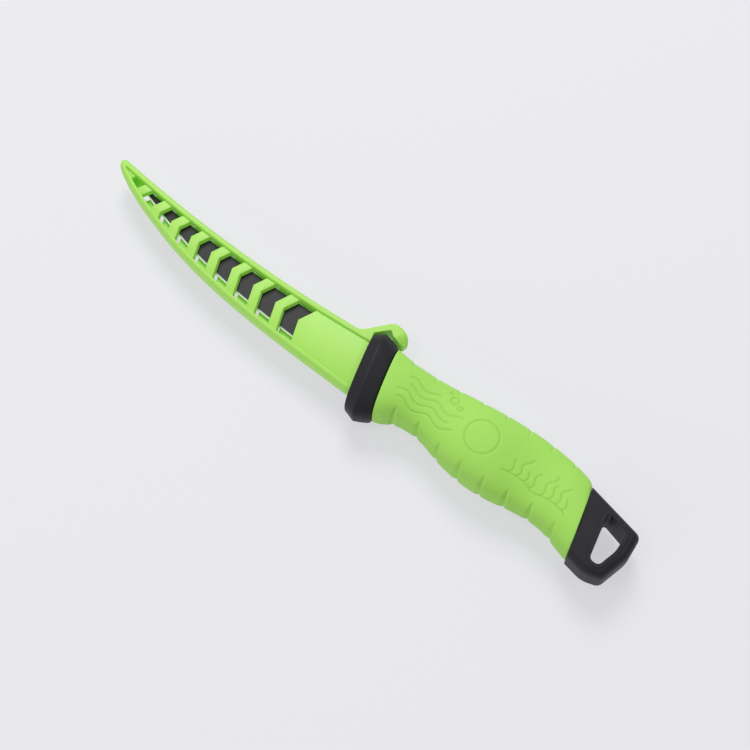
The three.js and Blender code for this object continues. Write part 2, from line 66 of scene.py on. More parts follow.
# Sizes in millimetres. They follow the solids, with some outlines fitted a little closer.
LEAN = math.tan(math.radians(16))
BLADE_LENGTH = 132.8
BLADE_HALF = 1.0
SPINE_AT_GUARD = 11.0
SPINE_AT_TIP = 9.2
SPINE_SAG = 3.2
BELLY_POWER = 3.5
POINT_SHARE = 0.997
FOOT_HALF = 0.45
BEVEL_WIDTH = 0.7
TANG_BOTTOM = -1.6
TANG_TOP = 9.4
TANG_END = 78.1
TANG_PLAY = 0.15
CORE_START = 3.0
CORE_END = 116.0
CORE_MIDDLE = 3.9
CORE_HALF_HEIGHT = 8.25
CORE_HALF = 5.0
GUARD_FRONT = -5.9
GUARD_REAR = 7.2
GUARD_TOP = 19.3
GUARD_BOTTOM = -19.8
GUARD_THICKNESS = 26.0
GUARD_POWER = 2.7
GRIP_FRONT = 7.45
GRIP_LENGTH = 103.75
GRIP_HALF_HEIGHT = 20.0
GRIP_THICKNESS = 26.0
GRIP_WAIST_THICKNESS = 21.5
GRIP_POWER = 2.5
BORE_HALF_HEIGHT = 10.5
BORE_THICKNESS = 14.0
FLUTE_COUNT = 8
FLUTE_FIRST = 9.7
FLUTE_PITCH = 12.0
LOW_FLUTE_DEPTH = 1.25
LOW_FLUTE_WIDTH = 2.0
HIGH_FLUTE_DEPTH = 0.7
HIGH_FLUTE_WIDTH = 1.6
FLUTE_STEEP_SIDE = 0.65
LINE_HALF = 0.42
LINE_DEPTH = 0.3
POMMEL_FRONT = 111.28
POMMEL_END = 136.0
POMMEL_HALF = 10.0
POMMEL_SHOULDER = 5.4
POMMEL_EDGE = 3.1
LIP_WIDTH = 1.9
LIP_RISE = 0.35
HOLE_EASE = 0.55
SHEATH_MOUTH = -6.3
RIM_HALF = 5.0
RIM_WIDTH = 2.3
RIM_SQUASH = 0.55
SPINE_PLAY_AT_MOUTH = 1.7
SPINE_PLAY_AT_NOSE = 0.9
EDGE_PLAY = 3.2
INTO_RIM = 0.8
FLARE_FROM = -120.0
FLARE_RUN = 27.0
NOSE_FLARE = 0.55
PANEL_TOP = 3.9
PANEL_UNDER = 1.6
BAR_COUNT = 8
BAR_WIDTH = 5.2
BAR_PITCH = 11.3
BAR_PITCH_GROWTH = 0.28
BAR_BEND_Y = 3.2
BAR_BEND_FALL = math.radians(1.6)
BAR_DRAFT = 0.55
BAR_EASE = 0.22
BACK_BAR_GAP = 0.85
PLATE_EASE = 0.3


def at(x, y, z=0.0):
    """A place given in millimetres along the knife, towards its spine and out of its flat side."""
    return ZERO + Vector((x, y, z)) * MM


def in_mm(place):
    return (place - ZERO) / MM


def slanted(station, y):
    """Guard, grip and pommel joints all lean the same way."""
    return station - y * LEAN


def station_of(place):
    point = in_mm(place)
    return point.x + point.y * LEAN


def mix(a, b, share):
    return a + (b - a) * share


def held(share):
    """Holds a share between 0 and 1."""
    return max(0.0, min(1.0, share))


# Modelling by hand: a speck is drawn out into lines, lines are filled, faces are drawn out into bodies.


def leave_edit():
    if bpy.context.mode != "OBJECT":
        bpy.ops.object.mode_set(mode="OBJECT")
    bpy.ops.object.select_all(action="DESELECT")


def begin(name, place):
    """Adds the speck that a piece is drawn out from, and opens it for editing."""
    leave_edit()
    bpy.ops.mesh.primitive_plane_add(size=MM, location=place)
    bpy.ops.object.transform_apply(location=True)
    piece = bpy.context.object
    piece.name = name
    bpy.ops.object.mode_set(mode="EDIT")
    bpy.ops.mesh.select_mode(type="VERT")
    bpy.ops.mesh.select_all(action="SELECT")
    bpy.ops.mesh.merge(type="CENTER")
    return piece


def draw_line(points):
    """Draws the selected corner out from point to point."""
    for here, there in zip(points, points[1:]):
        bpy.ops.mesh.extrude_vertices_move(TRANSFORM_OT_translate={"value": there - here})


def draw_another(points):
    """Starts a second line in the open piece."""
    bpy.ops.mesh.primitive_plane_add(size=MM, location=points[0])
    bpy.ops.mesh.merge(type="CENTER")
    draw_line(points)


def near(points, reach=0.01):
    """A test of whether a corner lies on one of some points, seen from above."""
    spots = np.array([(point.x, point.y) for point in points])
    return lambda corner: np.hypot(*(spots - np.array(corner.co.xy)).T).min() < reach * MM


def lay_between(first, second):
    """Lays a strip of faces between two lines of the open piece."""
    spots = np.array([tuple(point) for point in first + second])
    pick("VERT", lambda corner: np.abs(spots - np.array(corner.co)).sum(axis=1).min() < 0.003 * MM)
    bpy.ops.mesh.bridge_edge_loops()


def skin(name, lines):
    """A body laid over lines that run alongside each other all round it, its ends closed; left open."""
    piece = begin(name, lines[0][0])
    draw_line(lines[0])
    for line in lines[1:]:
        draw_another(line)
    for first, second in zip(lines, lines[1:] + lines[:1]):
        lay_between(first, second)
    bpy.ops.mesh.select_all(action="SELECT")
    bpy.ops.mesh.fill_holes(sides=0)
    return piece


def trace(name, points):
    """A flat face inside an outline, left open and selected."""
    piece = begin(name, points[0])
    draw_line(points)
    bpy.ops.mesh.select_all(action="SELECT")
    bpy.ops.mesh.edge_face_add()
    bpy.ops.mesh.select_mode(type="FACE")
    bpy.ops.mesh.select_all(action="SELECT")
    return piece


def draw_out(x=0.0, y=0.0, z=0.0):
    """Draws what is selected out by some millimetres."""
    bpy.ops.mesh.extrude_region_move(TRANSFORM_OT_translate={"value": Vector((x, y, z)) * MM})


def resize(scale, centre):
    bpy.ops.transform.resize(value=scale, center_override=centre)


def pick(kind, test):
    """Selects the corners, edges or faces of the open piece that pass a test of place or normal."""
    bpy.ops.mesh.select_mode(type=kind)
    bpy.ops.mesh.select_all(action="DESELECT")
    data = bpy.context.object.data
    mesh = bmesh.from_edit_mesh(data)
    mesh.normal_update()
    for item in {"VERT": mesh.verts, "EDGE": mesh.edges, "FACE": mesh.faces}[kind]:
        if test(item):
            item.select_set(True)
    mesh.select_flush_mode()
    bmesh.update_edit_mesh(data)


def pick_edges(test):
    """Selects the edges of the open piece whose ends both pass a test."""
    pick("EDGE", lambda edge: all(test(corner) for corner in edge.verts))


def round_edges(width, segments=3):
    bpy.ops.mesh.bevel(offset=width * MM, segments=segments, affect="EDGES", clamp_overlap=True)


def close(piece, smooth=35):
    """Merges doubles, turns the faces outward and leaves the piece shaded smooth below an angle."""
    if bpy.context.mode != "EDIT_MESH":
        bpy.context.view_layer.objects.active = piece
        bpy.ops.object.mode_set(mode="EDIT")
    bpy.ops.mesh.select_all(action="SELECT")
    bpy.ops.mesh.remove_doubles(threshold=0.001 * MM)
    bpy.ops.mesh.normals_make_consistent(inside=False)
    leave_edit()
    piece.select_set(True)
    bpy.context.view_layer.objects.active = piece
    bpy.ops.object.shade_smooth_by_angle(angle=math.radians(smooth))
    return piece


def modify(piece, kind, **settings):
    """Adds a modifier with its settings and applies it."""
    leave_edit()
    piece.select_set(True)
    bpy.context.view_layer.objects.active = piece
    bpy.ops.object.modifier_add(type=kind)
    modifier = piece.modifiers[-1]
    for key, value in settings.items():
        setattr(modifier, key, value)
    bpy.ops.object.modifier_apply(modifier=modifier.name)


def combine(piece, other, operation):
    """Joins another body to a piece, or cuts it out, and takes the other body away."""
    modify(piece, "BOOLEAN", operation=operation, object=other, solver="EXACT")
    bpy.data.objects.remove(other, do_unlink=True)


def join(name, pieces):
    leave_edit()
    for piece in pieces:
        piece.select_set(True)
    bpy.context.view_layer.objects.active = pieces[0]
    bpy.ops.object.join()
    pieces[0].name = name
    return pieces[0]


def slab(name, outline, bottom, top):
    """A straight-sided plate between two heights."""
    piece = trace(name, [at(x, y, bottom) for x, y in outline])
    draw_out(z=top - bottom)
    bpy.ops.mesh.select_all(action="SELECT")
    bpy.ops.mesh.normals_make_consistent(inside=False)
    return piece


def rounded(corners, steps=6, grow=0.0):
    """An outline whose corners (x, y, radius) are turned into arcs, and which may be grown all round."""
    outline = []
    for index, (x, y, radius) in enumerate(corners):
        here = Vector((x, y))
        back = (Vector(corners[index - 1][:2]) - here).normalized()
        ahead = (Vector(corners[(index + 1) % len(corners)][:2]) - here).normalized()
        half = math.acos(max(-1, min(1, back.dot(ahead)))) / 2
        reach = radius / math.tan(half)
        centre = here + (back + ahead).normalized() * (radius / math.sin(half))
        first = here + back * reach - centre
        last = here + ahead * reach - centre
        turn = math.atan2(first.x * last.y - first.y * last.x, first.dot(last))
        for step in range(steps + 1):
            spoke = Matrix.Rotation(turn * step / steps, 2) @ first * (1 + grow / radius)
            outline.append((centre.x + spoke.x, centre.y + spoke.y))
    return outline


def bowed(start, control, end, steps):
    """Points of one bowed line, its first left out."""
    points = []
    for step in range(1, steps + 1):
        share = step / steps
        points.append(tuple(
            (1 - share) ** 2 * a + 2 * share * (1 - share) * b + share ** 2 * c
            for a, b, c in zip(start, control, end)
        ))
    return points


# Blade: a thin flat with a sagging spine, a belly that sweeps up to the point, and a narrow ground edge.


def along_blade(x):
    return (GUARD_FRONT - x) / BLADE_LENGTH


def spine_y(x):
    share = along_blade(x)
    return mix(SPINE_AT_GUARD, SPINE_AT_TIP, share) - 4 * SPINE_SAG * share * (1 - share)


def edge_y(x):
    return HEEL_Y + (SPINE_AT_TIP - HEEL_Y) * max(0.0, along_blade(x)) ** BELLY_POWER


def cutting_y(x):
    """The cutting edge, which is a little fuller than the sheath's wall just before the point."""
    share = along_blade(x)
    fuller = held((share - 0.8) / 0.15) * held((1 - share) / 0.03)
    return edge_y(x) - 0.8 * fuller


def foot_y(x):
    """Where the blade's flat side meets the ground edge."""
    return cutting_y(x) + min(BEVEL_WIDTH, (spine_y(x) - cutting_y(x)) / 4)


def blade_line(height, half):
    """One long line of the blade, from the guard to the point, where the blade grows thin."""
    shoulder = GUARD_FRONT - 0.15
    tip_x = GUARD_FRONT - POINT_SHARE * BLADE_LENGTH
    start = GUARD_FRONT
    for _ in range(6):
        start = slanted(shoulder, height(start))
    points = []
    steps = 60
    for step in range(steps + 1):
        share = 1 - (1 - step / steps) ** 1.4
        x = mix(start, tip_x, share)
        points.append(at(x, height(x), half * mix(1.0, 0.5, share ** 3)))
    return points


def make_blade():
    lines = [
        blade_line(spine_y, BLADE_HALF),
        blade_line(foot_y, FOOT_HALF),
        blade_line(cutting_y, 0.0),
        blade_line(foot_y, -FOOT_HALF),
        blade_line(spine_y, -BLADE_HALF),
    ]
    blade = skin("blade", lines)
    close(blade, 10)
    shoulder = GUARD_FRONT - 0.2
    outline = [
        (slanted(shoulder, TANG_BOTTOM), TANG_BOTTOM),
        (TANG_END, TANG_BOTTOM),
        (TANG_END, TANG_TOP),
        (slanted(shoulder, TANG_TOP), TANG_TOP),
    ]
    tang = slab("tang", outline, -BLADE_HALF, BLADE_HALF)
    close(tang)
    return join("blade", [blade, tang])


# Handle core: a crowned guard with a ridge round it, the bar inside the grip, and the pommel with its hole.


def oval(station, bottom, top, thickness, power, count):
    """A leaning ring between round and square."""
    middle = (top + bottom) / 2
    points = []
    for index in range(count):
        angle = 2 * math.pi * (index + 0.5) / count
        tall = math.cos(angle)
        thick = math.sin(angle)
        y = middle + (top - bottom) / 2 * math.copysign(abs(tall) ** (2 / power), tall)
        z = thickness / 2 * math.copysign(abs(thick) ** (2 / power), thick)
        points.append(at(slanted(station, y), y, z))
    return points


def next_ring(before, after):
    """Draws a leaning ring (station, bottom, top, thickness) out to the next one."""
    old_middle = (before[1] + before[2]) / 2
    new_middle = (after[1] + after[2]) / 2
    step = Vector((
        slanted(after[0], new_middle) - slanted(before[0], old_middle),
        new_middle - old_middle,
        0,
    ))
    draw_out(*step)
    tall = (after[2] - after[1]) / (before[2] - before[1])
    thick = after[3] / before[3]
    resize((tall, tall, thick), at(slanted(after[0], new_middle), new_middle))


def make_guard():
    ridge = (-1.0, -0.4)
    rings = [
        (GUARD_FRONT, -18.4, 16.4, 22.4),
        (-4.3, -18.7, 17.3, 23.4),
        (ridge[0], GUARD_BOTTOM, GUARD_TOP, GUARD_THICKNESS),
        (ridge[1], GUARD_BOTTOM, GUARD_TOP, GUARD_THICKNESS),
        (3.4, -18.1, 18.8, 24.4),
        (GUARD_REAR, -16.1, 17.4, 22.3),
    ]
    guard = trace("guard", oval(*rings[0], GUARD_POWER, 96))
    for before, after in zip(rings, rings[1:]):
        next_ring(before, after)
    for station, width in ((GUARD_FRONT, 0.6), (GUARD_REAR, 1.1), (ridge[0], 0.25), (ridge[1], 0.25)):
        pick_edges(lambda corner: abs(station_of(corner.co) - station) < 0.05)
        round_edges(width, 4)
    return close(guard, 30)


def lanyard_outline(grow=0.0):
    return rounded([
        (118.1, 11.6, 1.5),
        (123.4, -9.9, 2.3),
        (128.0, -9.9, 2.3),
        (130.2, -0.65, 9.0),
        (129.6, 8.8, 1.5),
    ], 8, grow)


def make_pommel():
    """Its sides are rounded by steps of inset, its front is cut off at the joint with the grip."""
    top_front = 18.8
    bottom_front = -12.8
    top_rear = 12.3075
    rounding = 3.4
    front = POMMEL_FRONT - POMMEL_EDGE - rounding
    outline = rounded([
        (slanted(front, top_front), top_front, rounding),
        (slanted(front, bottom_front), bottom_front, rounding),
        (POMMEL_END - 11, -15.7, 12.8),
        (POMMEL_END - 3.2, -13.2, 3.84),
        (POMMEL_END + 0.25, top_rear - 11, 12.8),
        (POMMEL_END - 0.9, top_rear - 0.3, rounding),
    ], 8)
    waist = POMMEL_HALF - POMMEL_SHOULDER
    pommel = slab("pommel", outline, -waist, waist)
    steps = 10
    for side in (1, -1):
        pick("FACE", lambda face: face.normal.z * side > 0.9)
        for step in range(steps):
            now = math.radians(90 * step / steps)
            then = math.radians(90 * (step + 1) / steps)
            bpy.ops.mesh.inset(
                thickness=POMMEL_EDGE * (math.cos(now) - math.cos(then)) * MM,
                depth=POMMEL_SHOULDER * (math.sin(then) - math.sin(now)) * MM,
            )
    bpy.ops.mesh.select_all(action="SELECT")
    bpy.ops.mesh.bisect(
        plane_co=at(POMMEL_FRONT, 0),
        plane_no=(1, LEAN, 0),
        use_fill=True,
        clear_inner=True,
    )
    pick_edges(lambda corner: abs(station_of(corner.co) - POMMEL_FRONT) < 0.02)
    round_edges(0.3, 3)
    close(pommel)
    lip_top = POMMEL_HALF + LIP_RISE
    lip = slab("lip", lanyard_outline(LIP_WIDTH), -lip_top, lip_top)
    pick("EDGE", lambda edge: abs(edge.verts[0].co.z - edge.verts[1].co.z) < 0.1 * MM)
    round_edges(0.9 * LIP_RISE, 3)
    close(lip)
    combine(pommel, lip, "UNION")
    hole = slab("lanyard_cutter", lanyard_outline(), -lip_top - 2, lip_top + 2)
    close(hole)
    combine(pommel, hole, "DIFFERENCE")
    bpy.ops.object.mode_set(mode="EDIT")
    on_wall = near([at(x, y) for x, y in lanyard_outline()], 0.03)
    pick_edges(lambda corner: on_wall(corner) and abs(abs(in_mm(corner.co).z) - lip_top) < 0.02)
    round_edges(HOLE_EASE, 4)
    return close(pommel, 40)


def make_handle_core():
    guard = make_guard()
    low = CORE_MIDDLE - CORE_HALF_HEIGHT
    high = CORE_MIDDLE + CORE_HALF_HEIGHT
    outline = [(CORE_START, low), (CORE_END, low), (CORE_END, high), (CORE_START, high)]
    bar = slab("bar", outline, -CORE_HALF, CORE_HALF)
    pick("EDGE", lambda edge: abs(edge.verts[0].co.x - edge.verts[1].co.x) > 0.05)
    round_edges(2.5, 4)
    close(bar)
    combine(guard, bar, "UNION")
    pommel = make_pommel()
    low = TANG_BOTTOM - TANG_PLAY
    high = TANG_TOP + TANG_PLAY
    end = TANG_END + TANG_PLAY
    outline = [(-12.0, HEEL_Y - TANG_PLAY), (-8.0, low), (end, low), (end, high), (-12.0, high)]
    slot = slab("tang_cutter", outline, -BLADE_HALF - TANG_PLAY, BLADE_HALF + TANG_PLAY)
    close(slot)
    combine(guard, slot, "DIFFERENCE")
    combine(guard, pommel, "UNION")
    guard.name = "handle_core"
    close(guard, 40)
    modify(guard, "WEIGHTED_NORMAL", keep_sharp=True, weight=50)
    return guard


# Grip: a fluted, engraved soft sleeve round the bar.


def through(knots, share):
    """Height of the smooth line through the knots (share, height) at a share of the length."""
    low, high = 0.0, 1.0
    last = len(knots) - 1

    def place(t):
        span = min(int(t * last), last - 1)
        weight = t * last - span
        around = [knots[max(0, min(last, span + k))] for k in (-1, 0, 1, 2)]
        spot = []
        for before, start, end, after in zip(*around):
            leave = (end - before) / 2
            arrive = (after - start) / 2
            spot.append(
                (2 * start - 2 * end + leave + arrive) * weight ** 3
                + (-3 * start + 3 * end - 2 * leave - arrive) * weight ** 2
                + leave * weight + start
            )
        return spot

    for _ in range(40):
        middle = (low + high) / 2
        if place(middle)[0] < share:
            low = middle
        else:
            high = middle
    return place((low + high) / 2)[1] * GRIP_HALF_HEIGHT


GRIP_TOP = [
    (0, 0.855), (0.1, 0.82), (0.18, 0.84), (0.28, 0.895), (0.43, 1.015), (0.6, 1.13),
    (0.75, 1.175), (0.88, 1.13), (0.96, 1.055), (0.985, 1.01), (1, 0.935),
]
GRIP_BOTTOM = [
    (0, -0.75), (0.04, -0.68), (0.1, -0.515), (0.17, -0.465), (0.24, -0.485), (0.35, -0.635),
    (0.47, -0.69), (0.58, -0.65), (0.72, -0.52), (0.81, -0.47), (0.88, -0.5), (0.95, -0.61), (1, -0.68),
]


def grip_ring(share):
    """The grip's outside at a share of its length: waisted before and behind its swelling middle."""
    swell = (1 + math.cos(4 * math.pi * (share - 0.5))) / 2
    thickness = mix(GRIP_WAIST_THICKNESS, GRIP_THICKNESS, swell) - max(0.0, share - 0.6) * 8
    return (
        GRIP_FRONT + share * GRIP_LENGTH,
        through(GRIP_BOTTOM, share),
        through(GRIP_TOP, share),
        thickness,
    )


def bore_ring(station):
    return (station, CORE_MIDDLE - BORE_HALF_HEIGHT, CORE_MIDDLE + BORE_HALF_HEIGHT, BORE_THICKNESS)


def weigh(piece, name, weights):
    """Marks corners of a piece with how far a finish is to move them."""
    group = piece.vertex_groups.new(name=name)
    for index in np.nonzero(weights > 0.004)[0]:
        group.add([int(index)], float(weights[index]), "REPLACE")


def corners_of(piece):
    places = np.zeros(len(piece.data.vertices) * 3)
    piece.data.vertices.foreach_get("co", places)
    return (places.reshape(-1, 3) - np.array(ZERO)) / MM


def flute_weights(points):
    """Wedge-shaped finger flutes, steeper towards the pommel, deep at the edges and run out on the flats."""
    stations = points[:, 0] + points[:, 1] * LEAN - GRIP_FRONT
    shares = np.clip(stations / GRIP_LENGTH, 0, 1)
    table = np.linspace(0, 1, 201)
    tops = np.interp(shares, table, [through(GRIP_TOP, s) for s in table])
    bottoms = np.interp(shares, table, [through(GRIP_BOTTOM, s) for s in table])
    height = (points[:, 1] - (tops + bottoms) / 2) / ((tops - bottoms) / 2)
    lateral = np.clip(np.abs(height), 0, 1) ** (GRIP_POWER / 2)
    fade = np.clip((lateral - 0.6) / 0.4, 0, 1)
    depth = np.where(height < 0, LOW_FLUTE_DEPTH, HIGH_FLUTE_DEPTH) * fade ** 0.8 * (1 - 0.45 * fade ** 3)
    width = np.where(height < 0, LOW_FLUTE_WIDTH, HIGH_FLUTE_WIDTH) * np.sqrt(fade) + 1e-6
    weights = np.zeros(len(points))
    for index in range(FLUTE_COUNT):
        offset = (stations - FLUTE_FIRST - FLUTE_PITCH * index) / width
        slope = np.where(offset < 0, -offset, offset / FLUTE_STEEP_SIDE)
        weights = np.maximum(weights, depth * np.clip(1 - slope, 0, 1))
    return weights


def engraved_lines():
    """Rows of water ripples and bubbles in front of a plain ring, and two banks of reeds behind it."""
    lines = []
    circle = [2 * math.pi * k / 64 for k in range(65)]
    lines.append([(56.5 + 7.7 * math.cos(a), 4.6 + 7.7 * math.sin(a)) for a in circle])
    for x, y, radius in ((37.4, 11.2, 1.7), (41.6, 9.4, 1.1), (34.2, 13.6, 0.8)):
        lines.append([(x + radius * math.cos(a), y + radius * math.sin(a)) for a in circle[::4]])
    for first, last, base in ((16.5, 44.5, -3.4), (14.5, 41.0, 0.2), (18.0, 45.0, 3.8), (16.0, 31.0, 7.4)):
        line = []
        for k in range(57):
            x = mix(first, last, k / 56)
            line.append((x, base + 0.05 * (x - 15) + 1.15 * math.sin((x - 15) / 13.5 * 2 * math.pi)))
        lines.append(line)
    for start, stems in ((72.0, (6.5, 10.5, 5.0, 8.0)), (88.5, (11.5, 7.5, 9.5, 5.5))):
        lines.append([(start + 15.5 * k / 24, -1.4 + 1.5 * math.sin(math.pi * k / 24)) for k in range(25)])
        for k, tall in enumerate(stems):
            root_x = start + 2.2 + 3.7 * k
            root_y = -1.4 + 1.5 * math.sin(math.pi * (root_x - start) / 15.5)
            stem = []
            for step in range(17):
                rise = tall * step / 16
                sway = 0.95 * math.sin(2 * math.pi * rise / 8.0)
                stem.append((root_x + 0.16 * rise + sway, root_y + rise))
            lines.append(stem)
    return lines


def engraving_weights(points):
    """One along the engraved lines, on the grip's flats only."""
    weights = np.zeros(len(points))
    on_flat = np.abs(points[:, 2]) > 7
    flat = points[on_flat][:, :2]
    best = np.full(len(flat), 99.0)
    for line in engraved_lines():
        for (ax, ay), (bx, by) in zip(line, line[1:]):
            start = np.array((ax, ay))
            run = np.array((bx - ax, by - ay))
            share = np.clip(((flat - start) @ run) / max(run @ run, 1e-9), 0, 1)
            gap = np.linalg.norm(flat - start - share[:, None] * run, axis=1)
            best = np.minimum(best, gap)
    weights[on_flat] = np.clip(1.25 - best / LINE_HALF, 0, 1)
    return weights


def make_grip():
    count = 68
    segments = 74
    rings = [grip_ring(step / segments) for step in range(segments + 1)]
    points = oval(*rings[0], GRIP_POWER, count)
    grip = begin("grip", points[0])
    draw_line(points + points[:1])
    bpy.ops.mesh.select_all(action="SELECT")
    bpy.ops.mesh.remove_doubles(threshold=0.001 * MM)
    grip_end = rings[-1][0]
    bore = [bore_ring(x) for x in (grip_end, grip_end - 1.0, GRIP_FRONT + 1.0, GRIP_FRONT)]
    rear_lip = tuple(mix(a, b, 0.12) for a, b in zip(rings[-1], bore[0]))
    front_lip = tuple(mix(a, b, 0.88) for a, b in zip(bore[-1], rings[0]))
    rings += [rear_lip] + bore + [front_lip]
    for before, after in zip(rings, rings[1:]):
        next_ring(before, after)
    pick("EDGE", lambda edge: edge.is_boundary)
    bpy.ops.mesh.bridge_edge_loops()
    close(grip, 60)
    modify(grip, "SUBSURF", levels=2, render_levels=2)
    weigh(grip, "flutes", flute_weights(corners_of(grip)))
    modify(grip, "DISPLACE", strength=-1.0 * MM, mid_level=0.0, vertex_group="flutes")
    weigh(grip, "engraving", engraving_weights(corners_of(grip)))
    modify(grip, "DISPLACE", strength=-LINE_DEPTH * MM, mid_level=0.0, vertex_group="engraving")
    grip.vertex_groups.clear()
    close(grip, 60)
    # The engraving's weights are kept on the grip as the mask for the painted shade in its grooves.
    depth = grip.data.attributes.new("engraving", "FLOAT", "POINT")
    depth.data.foreach_set("value", engraving_weights(corners_of(grip)))
    return grip


# Sheath: a rounded rim bent round the blade, with a plain panel at the mouth and chevron bars on both sides,
# those of the back behind the windows of the front.


def inner_top(x):
    return spine_y(x) + mix(SPINE_PLAY_AT_MOUTH, SPINE_PLAY_AT_NOSE, along_blade(x))


def inner_bottom(x):
    return edge_y(x) - EDGE_PLAY - 0.35 * max(0.0, along_blade(x)) ** 4


def wall_line(margin, nose_radius, spine_extra=0.0, flare=0.0):
    """One wall from the mouth's spine side round the nose to its edge side, which may flare at the nose."""

    def top_at(x):
        return inner_top(x) + margin + spine_extra

    def bottom_at(x):
        share = held((FLARE_FROM - x) / FLARE_RUN)
        return inner_bottom(x) - margin - flare * share * share * (3 - 2 * share)

    near_x = GUARD_FRONT - 0.8 * BLADE_LENGTH
    nose = near_x - BLADE_LENGTH
    for _ in range(60):
        middle = (near_x + nose) / 2
        if top_at(middle) - bottom_at(middle) > 2 * nose_radius:
            near_x = middle
        else:
            nose = middle
    top_start = slanted(SHEATH_MOUTH, top_at(slanted(SHEATH_MOUTH, SPINE_AT_GUARD)))
    bottom_start = slanted(SHEATH_MOUTH, bottom_at(slanted(SHEATH_MOUTH, HEEL_Y)))
    steps = 56
    top = []
    bottom = []
    for step in range(steps + 1):
        x_top = mix(top_start, nose, step / steps)
        x_bottom = mix(bottom_start, nose, step / steps)
        top.append((x_top, top_at(x_top)))
        bottom.append((x_bottom, bottom_at(x_bottom)))
    start = Vector(top[-1])
    end = Vector(bottom[-1])
    leave = start + 1.42 * nose_radius * Vector((-1, top_at(nose - 1) - top_at(nose))).normalized()
    arrive = end + 1.75 * nose_radius * Vector((-1, bottom_at(nose - 1) - bottom_at(nose))).normalized()
    cap = []
    for step in range(1, 16):
        t = step / 16
        point = (1 - t) ** 3 * start + 3 * t * (1 - t) ** 2 * leave
        point = point + 3 * t * t * (1 - t) * arrive + t ** 3 * end
        cap.append(tuple(point))
    return top + cap + bottom[::-1]


def make_rim():
    """Rounded at about half its height and then drawn up, so that the bead's outside is taller than wide."""
    flat = RIM_HALF * RIM_SQUASH
    outer = [at(x, y, -flat) for x, y in wall_line(RIM_WIDTH + 0.15, 2.85, spine_extra=0.3, flare=0.9)]
    inner = [at(x, y, -flat) for x, y in wall_line(0.0, 0.25, spine_extra=-0.3, flare=NOSE_FLARE)]
    rim = begin("sheath_body", outer[0])
    draw_line(outer)
    draw_another(inner)
    bpy.ops.mesh.select_all(action="SELECT")
    bpy.ops.mesh.bridge_edge_loops()
    bpy.ops.mesh.select_mode(type="FACE")
    bpy.ops.mesh.select_all(action="SELECT")
    draw_out(z=2 * flat)
    bpy.ops.mesh.select_all(action="SELECT")
    bpy.ops.mesh.normals_make_consistent(inside=False)
    for line, width, segments in ((outer, 1.75, 7), (inner, 0.3, 3)):
        on_line = near(line)
        pick("EDGE", lambda edge: (
            edge.calc_face_angle(0) > 1.0
            and all(on_line(corner) for corner in edge.verts)
            and abs(edge.verts[0].co.z - edge.verts[1].co.z) < 0.1 * MM
        ))
        round_edges(width, segments)
    pick("EDGE", lambda edge: (
        edge.calc_face_angle(0) > 0.6
        and all(abs(station_of(corner.co) - SHEATH_MOUTH) < 0.3 for corner in edge.verts)
    ))
    round_edges(0.25, 2)
    bpy.ops.mesh.select_all(action="SELECT")
    resize((1, 1, 1 / RIM_SQUASH), ZERO)
    return close(rim, 40)


def bar_x(index):
    """Where the bends of the front bars lie; their pitch grows towards the mouth."""
    x = GUARD_FRONT - BLADE_LENGTH - 1.1
    for step in range(index):
        x += BAR_PITCH + BAR_PITCH_GROWTH * step
    return x


def straight_side(x):
    """One side of the last bar at the nose, where the sheath is too slim for a bend."""
    middle_y = 8.0
    lean = 0.55
    ends = []
    for wall, overlap in ((inner_top, INTO_RIM), (inner_bottom, -INTO_RIM)):
        y = middle_y
        for _ in range(12):
            y = wall(x + 0.9 + (y - middle_y) * lean) + overlap
        ends.append((x + 0.9 + (y - middle_y) * lean, y))
    middle = tuple((a + b) / 2 for a, b in zip(*ends))
    return [ends[0], middle, ends[1]]


def chevron(x):
    """One side of a bar, from its spine end by its bend to its edge end, run a little into the rim."""
    if x < bar_x(1) - 3:
        return straight_side(x)
    bend_y = BAR_BEND_Y - BAR_BEND_FALL * (x - bar_x(1))
    upper = math.tan(math.radians(24))
    lower = math.tan(math.radians(21))
    spine_end = 12.0
    edge_end = -8.0
    for _ in range(12):
        spine_end = inner_top(x + (spine_end - bend_y) * upper) + INTO_RIM
        edge_end = inner_bottom(x + (bend_y - edge_end) * lower) - INTO_RIM
    return [
        (x + (spine_end - bend_y) * upper, spine_end),
        (x, bend_y),
        (x + (bend_y - edge_end) * lower, edge_end),
    ]


def make_bar(name, left, right, side):
    """A drafted chevron bar: its faces towards the handle lean, its outer edges are rounded."""
    outline = left + right[::-1]
    bar = slab(name, outline, side * PANEL_UNDER, side * PANEL_TOP)
    trailing = [Vector(point) for point in right]
    outer = PANEL_TOP - 0.02

    def on_trailing_top(corner):
        point = in_mm(corner.co)
        return point.z * side > outer and min((point.xy - spot).length for spot in trailing) < 0.02

    pick("VERT", on_trailing_top)
    bpy.ops.transform.translate(value=(-BAR_DRAFT * MM, 0, 0))
    pick_edges(lambda corner: in_mm(corner.co).z * side > outer)
    round_edges(BAR_EASE, 3)
    return close(bar, 40)


def make_plate(name, outline, side):
    """A plain panel of the sheath's flat, its outer edges eased."""
    plate = slab(name, outline, side * PANEL_UNDER, side * PANEL_TOP)
    pick_edges(lambda corner: in_mm(corner.co).z * side > PANEL_TOP - 0.02)
    round_edges(PLATE_EASE, 3)
    return close(plate, 40)


def mouth_outline(left):
    """From a chevron side to the mouth, which is cut parallel to the guard."""
    top_y = inner_top(slanted(SHEATH_MOUTH, SPINE_AT_GUARD)) + INTO_RIM
    bottom_y = inner_bottom(slanted(SHEATH_MOUTH, HEEL_Y)) - INTO_RIM
    steps = 10
    upper = []
    lower = []
    for step in range(1, steps + 1):
        x_top = mix(left[0][0], slanted(SHEATH_MOUTH, top_y), step / steps)
        x_bottom = mix(left[2][0], slanted(SHEATH_MOUTH, bottom_y), step / steps)
        upper.append((x_top, inner_top(x_top) + INTO_RIM))
        lower.append((x_bottom, inner_bottom(x_bottom) - INTO_RIM))
    return left + lower + upper[::-1]


